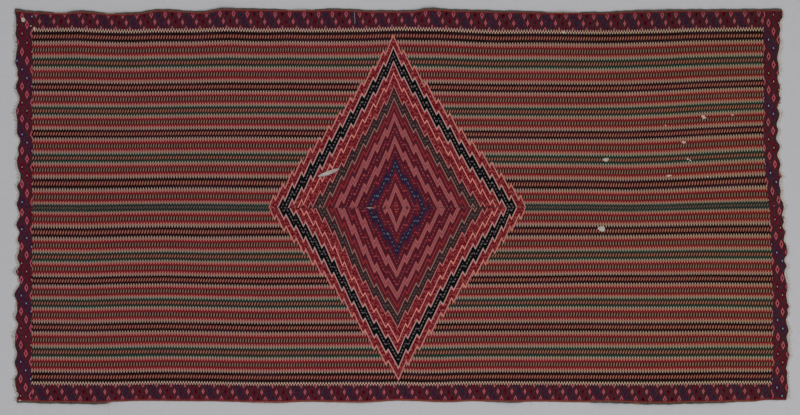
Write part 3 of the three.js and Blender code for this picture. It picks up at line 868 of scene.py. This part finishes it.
class Tubes:
    """Many thin threads joined into one mesh."""

    def __init__(self, sides):
        self.sides = sides
        self.verts, self.faces, self.tone = [], [], []
        self.count = 0

    def add(self, path, radius, tone, worn=0.0):
        path = np.asarray(path, float)
        m, s = len(path), self.sides
        radius = np.broadcast_to(np.asarray(radius, float), (m,))
        t = np.gradient(path, axis=0)
        t /= np.linalg.norm(t, axis=1)[:, None] + 1e-12
        up = np.where(np.abs(t[:, 2:3]) > 0.9, [[1.0, 0, 0]], [[0, 0, 1.0]])
        a = np.cross(t, up)
        a /= np.linalg.norm(a, axis=1)[:, None] + 1e-12
        b = np.cross(t, a)
        far = np.concatenate([[0], np.cumsum(np.linalg.norm(np.diff(path, axis=0), axis=1))])
        ring = 2 * np.pi * np.arange(s) / s
        pts = (
            path[:, None]
            + radius[:, None, None]
            * (a[:, None] * np.cos(ring)[None, :, None] + b[:, None] * np.sin(ring)[None, :, None])
        )
        base = self.count
        self.verts.append(pts.reshape(-1, 3))
        twist = (ring / (2 * np.pi))[None, :] + far[:, None] / 1.6
        bare = np.broadcast_to(np.asarray(worn, float), (m,))
        info = np.stack([np.full((m, s), tone), twist, np.repeat(bare[:, None], s, 1)], -1)
        self.tone.append(info.reshape(-1, 3))
        i = np.arange(s)
        j = (i + 1) % s
        for k in range(m - 1):
            lo, hi = base + k * s, base + (k + 1) * s
            self.faces.extend(np.stack([lo + i, hi + i, hi + j, lo + j], 1).tolist())
        self.faces.append((base + i).tolist())
        self.faces.append((base + (m - 1) * s + i[::-1]).tolist())
        self.count += m * s

    def build(self, name, material):
        ob = make(name, np.concatenate(self.verts), self.faces, material)
        set_vectors(ob, "strand", np.concatenate(self.tone))
        return ob


# ---- the two panels --------------------------------------------------------------------------
def lines(start, end, step, fine):
    """Grid lines from start to end, closer together at a few places."""
    places = list(np.linspace(start, end, int(round((end - start) / step)) + 1))
    for middle, half, close in fine:
        places = [c for c in places if abs(c - middle) > half]
        places += list(np.linspace(middle - half, middle + half, int(2 * half / close) + 1))
    return np.array(sorted(c for c in places if start <= c <= end))


def hole_frame(h, x, y):
    """A place seen from a hole's middle, along and across it, as parts of its half sizes."""
    a = math.radians(h["turn"])
    dx, dy = x - (h["x"] - CENTRE_X), y - (h["y"] - CENTRE_Y)
    return (dx * math.cos(a) + dy * math.sin(a)) / (h["long"] / 2), (
        -dx * math.sin(a) + dy * math.cos(a)
    ) / (h["wide"] / 2)


def hole_reach(h, angle):
    """How far out a hole's ragged rim lies, as a part of its half sizes."""
    rag = 1 + 0.09 * np.sin(3 * angle + h["x"]) + 0.07 * np.sin(7 * angle + 2.0) + 0.05 * np.sin(11 * angle)
    if h["tip"]:
        # a long slit with one blunt and one drawn-out end
        taper = np.where(np.cos(angle) > 0, 0.45, 0.15) * np.abs(np.cos(angle)) ** 3
        return (1 - 0.5 * taper * np.abs(np.sin(angle))) * (0.7 + 0.3 * rag)
    return rag


def panel_mesh(panel, material):
    side = SIDE[panel]
    holes = [h for h in HOLES if h["panel"] == panel]
    # grid lines along the length, at a mean place between the ends, and across from the seam out
    xs = lines(-1200, 1200, 7.6, [(h["x"], 0.62 * h["long"] + 3, 2.0 if h["tip"] else 1.5) for h in holes])
    xs = np.unique(np.concatenate([xs, [-1199.0, -1197.0, 1197.0, 1199.0]]))
    fine = []
    for h in holes:
        half = 0.5 * h["long"] * abs(math.sin(math.radians(h["turn"]))) + 0.62 * h["wide"]
        fine.append((abs(h["y"]), half + 1.5, 1.5))
    ts = lines(0, 610, 7.4, fine) / 610
    ts = np.unique(np.concatenate([ts, [0.9 / 610, 2.8 / 610, 1 - 2.8 / 610, 1 - 0.9 / 610]]))
    nx, nt = len(xs), len(ts)
    X, T = np.meshgrid(xs, ts, indexing="ij")
    for _ in range(3):
        inner = seam_y(X) + side * GAP / 2
        outer = edge_y(panel, X)
        Y = inner + (outer - inner) * T
        X = np.repeat(xs[:, None], nt, 1)
        wl = np.clip(1 - (xs + 1200) / 60, 0, 1)[:, None]
        wr = np.clip(1 - (1200 - xs) / 60, 0, 1)[:, None]
        X = X + wl**2 * (3 - 2 * wl) * (end_x(panel, "left", Y) + 1200)
        X = X + wr**2 * (3 - 2 * wr) * (end_x(panel, "right", Y) - 1200)
    x, y = X.ravel(), Y.ravel()

    quads = np.arange(nx * nt).reshape(nx, nt)
    quads = np.stack([quads[:-1, :-1], quads[1:, :-1], quads[1:, 1:], quads[:-1, 1:]], -1).reshape(-1, 4)
    if side < 0:
        quads = quads[:, ::-1]
    keep = np.ones(len(quads), bool)
    for h in holes:
        hx, hy = hole_frame(h, x[quads].mean(1), y[quads].mean(1))
        keep &= np.hypot(hx, hy) > hole_reach(h, np.arctan2(hy, hx))
    cut = np.unique(quads[~keep])
    quads = quads[keep]
    rim_verts = np.intersect1d(cut, np.unique(quads))
    for h in holes:
        hx, hy = hole_frame(h, x[rim_verts], y[rim_verts])
        r = np.hypot(hx, hy)
        own = rim_verts[r < 1.6]
        hx, hy, r = hx[r < 1.6], hy[r < 1.6], r[r < 1.6]
        angle = np.arctan2(hy, hx)
        pull = 0.75 * (hole_reach(h, angle) / np.maximum(r, 1e-6) - 1)
        hx, hy = hx * pull * h["long"] / 2, hy * pull * h["wide"] / 2
        a = math.radians(h["turn"])
        x[own] += hx * math.cos(a) - hy * math.sin(a)
        y[own] += hx * math.sin(a) + hy * math.cos(a)

    # upper and lower faces, then the rims
    top = top_z(panel, x, y)
    inward = np.minimum.reduce([
        np.abs(y - seam_y(x)), np.abs(edge_y(panel, x) - y),
        x - end_x(panel, "left", y), end_x(panel, "right", y) - x,
    ])
    top -= 0.7 * np.clip(1 - inward / 2.2, 0, 1) ** 2
    low = 0.12 + lift_at(panel, x, y)
    low += 0.35 * np.clip(1 - inward / 1.6, 0, 1) ** 2
    used = np.unique(quads)
    new = np.full(nx * nt, -1)
    new[used] = np.arange(len(used))
    quads = new[quads]
    x, y, top, low, inward = x[used], y[used], top[used], low[used], inward[used]
    n = len(used)
    edges = np.concatenate([quads[:, [k, (k + 1) % 4]] for k in range(4)])
    key = edges.min(1) * n + edges.max(1)
    _, first, times = np.unique(key, return_index=True, return_counts=True)
    rim = edges[first[times == 1]]
    sides = np.stack([rim[:, 1], rim[:, 0], rim[:, 0] + n, rim[:, 1] + n], 1)
    faces = np.concatenate([quads, quads[:, ::-1] + n, sides])
    verts = np.concatenate([np.stack([x, y, top], 1), np.stack([x, y, low], 1)])
    ob = make(f"panel_{panel}_cloth", verts, faces.tolist(), material)

    for name, columns in chart(x, y, panel).items():
        set_vectors(ob, name, np.tile(np.stack(columns, 1), (2, 1)))
    edge = np.abs(edge_y(panel, x) - y) / STEP
    end = np.minimum(x - end_x(panel, "left", y), end_x(panel, "right", y) - x) / STEP
    at = (x + CENTRE_X) / STEP + 400.6
    bound = np.interp(at, *BOUND[panel])  # how plainly the long edge is bound
    set_vectors(ob, "chart_edge", np.tile(np.stack([edge, end, bound], 1), (2, 1)))

    # one flat map: the left half above the right half, the same for both faces
    uv = ob.data.uv_layers.new(name="OFBake")
    loops = np.concatenate([f for f in faces])
    face_of = np.repeat(np.arange(len(faces)), 4)
    half = (np.concatenate([x, x])[faces].mean(1) > 0)[face_of]
    vx, vy = np.concatenate([x, x])[loops], np.concatenate([y, y])[loops]
    scale = 0.985 / 1222.0
    in_seam = side * vy + 14.0
    u = 0.008 + np.where(half, vx, vx + 1216.0) * scale
    v = np.where(half, 0.008, 0.506) + np.clip(in_seam, 0, 632) * (0.486 / 632.0)
    # the rims' lower corners step half a texel aside, so that no face is a line
    under = loops >= n
    is_side = face_of >= 2 * len(quads)
    v = v + np.where(under & is_side, 0.0006, 0.0)
    u = u + np.where(under & is_side, 0.0006, 0.0)
    uv.data.foreach_set("uv", np.stack([u, v], 1).astype(np.float32).ravel())
    ob.data.update()
    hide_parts(f"panel_{panel}")
    return ob


# ---- edging, fringes, seam and loose threads --------------------------------------------------
# chart columns where the edging is frayed through
FRAYED = dict(far=[62.0, 112.3, 303.0, 572.0], near=[108.5, 339.0, 531.0, 636.5])


def edging(panel, material):
    """A two-ply cord, as thick as it shows beyond the cloth."""
    side = SIDE[panel]
    from_x = float(end_x(panel, "left", edge_y(panel, -1200.0))) + 1
    to_x = float(end_x(panel, "right", edge_y(panel, 1195.0))) - 1
    xs = np.arange(from_x, to_x, 2.4)
    wide = 1.12 * edging_width(panel, xs) * (1 + 0.1 * np.sin(xs / 13.0) + 0.08 * np.sin(xs / 5.3 + 1))
    at = (xs + CENTRE_X) / STEP + 400.6
    if panel == "far":
        wide = wide * np.interp(at, [15, 29, 34], [1.4, 1.3, 1.0])
    y0 = edge_y(panel, xs) + side * (GAP + wide / 2 - 0.2)
    z0 = 0.15 + np.maximum(wide / 2, 0.9) + lift_at(panel, xs, edge_y(panel, xs))
    tubes = Tubes(6)
    thin = 2.9  # below this the cord is worn down to the cloth's own edge
    for ply in (0.0, math.pi):
        turn = 2 * np.pi * xs / 9.5 + ply + 0.4 * np.sin(xs / 37)
        path = np.stack([xs, y0 + 0.24 * wide * np.cos(turn), z0 + 0.24 * wide * np.sin(turn)], 1)
        worn = np.clip((thin - wide) / 0.5, 0, 1)
        for place in FRAYED[panel]:
            worn = np.maximum(worn, np.clip(2 - np.abs(at - place) / 1.4, 0, 1))
        tubes.add(path, 0.27 * wide, 0.25 if ply else 0.7, worn)
    ob = tubes.build(f"edging_{panel}_cord", material)
    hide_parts(f"edging_{panel}")
    return ob


def fringe(panel, end, material, seed):
    """The single warp ends, uneven in length and bent, as they stick out of the worn end."""
    rng = np.random.default_rng(seed)
    out = OUT[end]
    near_x = 1190.0 * out
    a, b = sorted([float(seam_y(near_x)), float(edge_y(panel, near_x))])
    tubes = Tubes(4)
    y = a + 2.0
    clump = 0.0
    while y < b - 2.0:
        y += rng.uniform(0.75, 1.25)
        if rng.random() < 0.12:
            clump = rng.uniform(-1.0, 1.0)
        long = 5.4 + 6.5 * rng.random() ** 1.6 + (4.0 * rng.random() if rng.random() < 0.06 else 0)
        wear = 0.92 + 0.22 * math.sin(y / 33.0 + seed) + 0.16 * math.sin(y / 11.0)
        long *= max(0.5, wear)
        x0 = float(end_x(panel, end, y)) - out * 2.0
        steps = np.linspace(0, 1, 5)
        swing = clump * 1.6 + rng.normal(0, 0.9)
        curl = rng.normal(0, 0.8)
        px = x0 + out * (2.0 + long) * steps
        py = y + swing * steps**2 + curl * np.sin(steps * 3.0)
        pz = 1.15 - 0.55 * steps + rng.normal(0, 0.15) * steps
        r = rng.uniform(0.3, 0.48) * np.array([1.0, 1.0, 0.95, 0.8, 0.45])
        tubes.add(np.stack([px, py, np.maximum(pz, 0.5)], 1), r, rng.random())
    ob = tubes.build(f"fringe_{end}_{panel}_warps", material)
    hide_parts(f"fringe_{end}_{panel}")
    return ob


def seam_stitches(material):
    """Overcast stitches that hold the two panels edge to edge."""
    tubes = Tubes(5)
    x = -1188.0
    while x < 1184.0:
        x += RNG.uniform(5.2, 7.4)
        s = float(seam_y(x))
        reach = RNG.uniform(1.6, 2.4)
        lean = RNG.uniform(1.2, 2.4)
        t = np.linspace(-1, 1, 6)
        path_x = x + lean * t
        path_y = s + reach * t
        z = np.array([float(top_z("far" if v > s else "near", u, v)) for u, v in zip(path_x, path_y)])
        z = np.minimum(z, 2.6) + np.array([-0.35, 0.1, 0.22, 0.22, 0.1, -0.35])
        tubes.add(np.stack([path_x, path_y, z], 1), 0.32, RNG.random())
    return tubes.build("seam_stitches", material)


def bare_warps(material):
    """Warps left across the holes and showing at worn spots."""
    tubes = Tubes(5)
    for h in HOLES:
        a = math.radians(h["turn"])
        half = 0.5 * h["long"] * abs(math.sin(a)) + 0.6 * h["wide"]
        for y in np.arange(h["y"] - CENTRE_Y - half, h["y"] - CENTRE_Y + half, 1.44):
            xs = h["x"] - CENTRE_X + np.linspace(-0.7, 0.7, 281) * h["long"]
            hx, hy = hole_frame(h, xs, np.full_like(xs, y))
            inside = xs[np.hypot(hx, hy) < hole_reach(h, np.arctan2(hy, hx))]
            if len(inside) < 2 or RNG.random() < 0.12:
                continue
            x0, x1 = inside[0] - 1.6, inside[-1] + 1.6
            t = np.linspace(0, 1, 9)
            sag = RNG.uniform(0.1, 0.5)
            y_path = y + RNG.normal(0, 0.25) + RNG.normal(0, 0.5) * np.sin(np.pi * t)
            tubes.add(
                np.stack([x0 + (x1 - x0) * t, y_path, 1.35 - sag * np.sin(np.pi * t)], 1),
                RNG.uniform(0.36, 0.5), 0.35 + 0.6 * RNG.random(),
            )
    # chart column, row, width and height of each worn spot
    for u, v, wide, high in WORN:
        x0 = (u - 400.6) * STEP - CENTRE_X
        y0 = (206.2 - v) * STEP - CENTRE_Y
        panel = "far" if y0 > float(seam_y(x0)) else "near"
        for k in np.arange(-0.5, 0.5, 0.27 / high):
            span = wide * STEP * math.sqrt(max(0.05, 1 - (2 * k) ** 2)) * RNG.uniform(0.6, 1.0)
            xc = x0 + RNG.normal(0, 0.12) * wide * STEP
            yc = y0 + k * high * STEP
            t = np.linspace(-0.5, 0.5, 6)
            px, py = xc + span * t, yc + RNG.normal(0, 0.4) * t + RNG.normal(0, 0.3) * np.cos(np.pi * t)
            pz = top_z(panel, px, py) + 0.12 - 0.5 * (2 * t) ** 4
            tubes.add(np.stack([px, py, pz], 1), 0.42, 0.3 + 0.6 * RNG.random())
    return tubes.build("bare_warps", material)


# places where the weave is worn down to its warps: chart column, row, width and height
WORN = [
    (702.9, 116.6, 5.4, 3.8), (732.0, 114.5, 2.6, 1.6), (683.2, 141.8, 5.2, 2.4),
    (687.0, 158.4, 2.6, 2.0), (689.6, 159.8, 2.4, 1.6), (668.6, 175.2, 5.4, 2.0),
    (707.0, 176.0, 2.4, 1.4), (665.0, 125.0, 2.4, 1.4), (563.0, 31.7, 3.2, 2.4),
    (22.8, 19.2, 5.2, 4.4), (33.6, 27.8, 2.8, 2.8), (30.0, 25.4, 2.2, 1.0), (369.0, 207.3, 9.0, 0.7),
    (19.6, 400.0, 3.0, 1.4),
]

# loose threads: each a few chart places that it passes through
LOOSE = [
    [(108.0, 401.5), (108.4, 404.0), (107.6, 407.0), (108.6, 410.0), (108.0, 413.0)],
    [(325.5, 401.0), (327.0, 404.5), (331.0, 406.8), (335.5, 406.0), (338.5, 403.6), (340.0, 402.0)],
    [(530.0, 400.5), (530.8, 403.0), (529.8, 406.0), (530.6, 409.0)],
    [(354.2, 11.0), (354.0, 15.0), (354.6, 19.0), (354.2, 23.5)],
]


def loose_threads(material):
    tubes = Tubes(5)
    for n, points in enumerate(LOOSE):
        pts = np.array([((u - 400.6) * STEP - CENTRE_X, (206.2 - v) * STEP - CENTRE_Y) for u, v in points])
        t = np.linspace(0, len(pts) - 1, 9 * len(pts))
        path = np.stack([np.interp(t, np.arange(len(pts)), pts[:, k]) for k in (0, 1)], 1)
        soft = np.ones(7) / 7
        for k in (0, 1):
            padded = np.concatenate([np.full(3, path[0, k]), path[:, k], np.full(3, path[-1, k])])
            path[:, k] = np.convolve(padded, soft, "valid")
        panel = "far" if path[0, 1] > 0 else "near"
        over = SIDE[panel] * (edge_y(panel, path[:, 0]) - path[:, 1])
        on = np.clip((over + 3.0) / 6.0, 0, 1)
        z = 0.45 + on * (top_z(panel, path[:, 0], path[:, 1]) + 0.1)
        tubes.add(np.stack([path[:, 0], path[:, 1], z], 1), 0.4, 0.2 + 0.2 * n)
    return tubes.build("loose_threads", material)


# tufts of weft hanging out of the worn ends: chart column and row, and which colour
TUFTS = dict(
    far=[(779.4, 84.2, 0.2), (779.8, 97.4, 0.4), (779.3, 102.2, 0.1), (777.2, 105.4, 0.6), (779.2, 176.0, 0.3),
         (777.2, 72.6, 0.5), (14.6, 41.6, 0.9), (15.2, 88.0, 0.2)],
    near=[(783.4, 217.0, 0.1), (784.4, 232.0, 0.3), (786.4, 250.0, 0.2), (788.4, 306.0, 0.4), (788.2, 354.6, 0.2),
          (15.4, 379.0, 1.0), (17.6, 391.0, 1.0), (17.2, 397.4, 0.9), (18.0, 400.2, 0.7)],
)


def tufts(panel, material):
    rng = np.random.default_rng(31 if panel == "far" else 32)
    tubes = Tubes(5)
    for u, v, tone in TUFTS[panel]:
        y0 = (206.2 - v) * STEP - CENTRE_Y
        end = "left" if u < 400 else "right"
        out = OUT[end]
        x0 = float(end_x(panel, end, y0))
        reach = max(1.5, out * ((u - 400.6) * STEP - CENTRE_X - x0) + 1.5)
        for _ in range(9):
            ys = y0 + rng.normal(0, 1.5)
            t = np.linspace(0, 1, 5)
            long = 2.0 + min(reach, 5.0) * rng.uniform(0.7, 1.2)
            px = float(end_x(panel, end, ys)) + out * (-2.0 + long * t)
            py = ys + rng.normal(0, 1.6) * t**2 + rng.normal(0, 0.4) * np.sin(3 * t)
            pz = 1.9 - 1.1 * t + rng.normal(0, 0.12) * t
            tubes.add(np.stack([px, py, np.maximum(pz, 0.5)], 1), rng.uniform(0.4, 0.55), np.clip(tone + rng.normal(0, 0.08), 0, 1))
    return tubes.build(f"tufts_{panel}", material)


weave = tapestry()
cord_far = thread("edging_yarn_far", [paint(24, 28, 22), paint(46, 46, 36), paint(68, 62, 50)], 700.0)
cord_near = thread(
    "edging_yarn_near", [paint(24, 30, 24), paint(46, 50, 42), paint(70, 66, 54)], 700.0, bare=paint(140, 82, 68)
)
warp_pale = thread("warp_yarn", [paint(198, 186, 166), paint(214, 204, 188), paint(208, 190, 174), paint(220, 212, 200)], dull=0.12)
warp_dim = thread("warp_yarn_left", [paint(180, 170, 158), paint(196, 188, 178), paint(188, 172, 164), paint(202, 196, 190)], dull=0.2)
warp_bare = thread("bare_warp_yarn", [paint(204, 193, 172), paint(217, 206, 187), paint(212, 189, 174)], dull=0.15)
weft_red = thread("tuft_yarn", [paint(84, 20, 28), paint(112, 34, 40), paint(120, 62, 52), paint(42, 44, 38)], dull=0.15)
seam_dark = thread("seam_yarn", [paint(30, 22, 22), paint(60, 44, 38), paint(44, 40, 34)])

far = panel_mesh("far", weave)
near = panel_mesh("near", weave)
edge_far = edging("far", cord_far)
edge_near = edging("near", cord_near)
fringes = {
    "far": [fringe("far", "left", warp_dim, 5), fringe("far", "right", warp_pale, 6)],
    "near": [fringe("near", "left", warp_dim, 7), fringe("near", "right", warp_pale, 8)],
}
stitches = seam_stitches(seam_dark)
warps = bare_warps(warp_bare)
loose = loose_threads(warp_pale)
ragged = {panel: tufts(panel, weft_red) for panel in ("far", "near")}


# ---- floor, light and camera -------------------------------------------------------------------
def floor_material():
    net = Net("pale_floor")
    c = net.node("ShaderNodeTexCoord")
    fine = net.noise(Val(net, c.outputs["Object"]), 60.0, 3.0)
    colour = net.blend(fine, paint(171, 171, 174), paint(177, 177, 179))
    return net.finish(colour, 0.95, specular=0.0)


me = bpy.data.meshes.new("floor")
me.from_pydata([(-9, -9, 0), (9, -9, 0), (9, 9, 0), (-9, 9, 0)], [], [(0, 1, 2, 3)])
me.materials.append(floor_material())
floor = bpy.data.objects.new("floor", me)
bpy.context.collection.objects.link(floor)

scene = bpy.context.scene
scene.view_settings.view_transform = "Standard"
world = bpy.data.worlds.new("studio")
scene.world = world
world.use_nodes = True
world.node_tree.nodes["Background"].inputs[0].default_value = (1.0, 1.0, 1.0, 1.0)
world.node_tree.nodes["Background"].inputs[1].default_value = 0.78


def softbox(name, place, size, watts):
    light = bpy.data.lights.new(name, "AREA")
    light.shape = "RECTANGLE"
    light.size, light.size_y = size
    light.energy = watts
    ob = bpy.data.objects.new(name, light)
    ob.location = place
    direction = -np.array(place) / np.linalg.norm(place)
    pitch = math.acos(-direction[2])
    ob.rotation_euler = (pitch, 0, math.atan2(-direction[0], direction[1]))
    bpy.context.collection.objects.link(ob)
    return ob


softbox("key", (1.7, -3.2, 5.6), (4.5, 3.0), 125)

camera = bpy.data.cameras.new("camera")
camera.sensor_width = 36.0
height = 7.2
camera.lens = 36.0 * height / 2.5
cam = bpy.data.objects.new("camera", camera)
cam.location = (-0.00503, -0.00384, height + 0.002)
bpy.context.collection.objects.link(cam)
scene.camera = cam
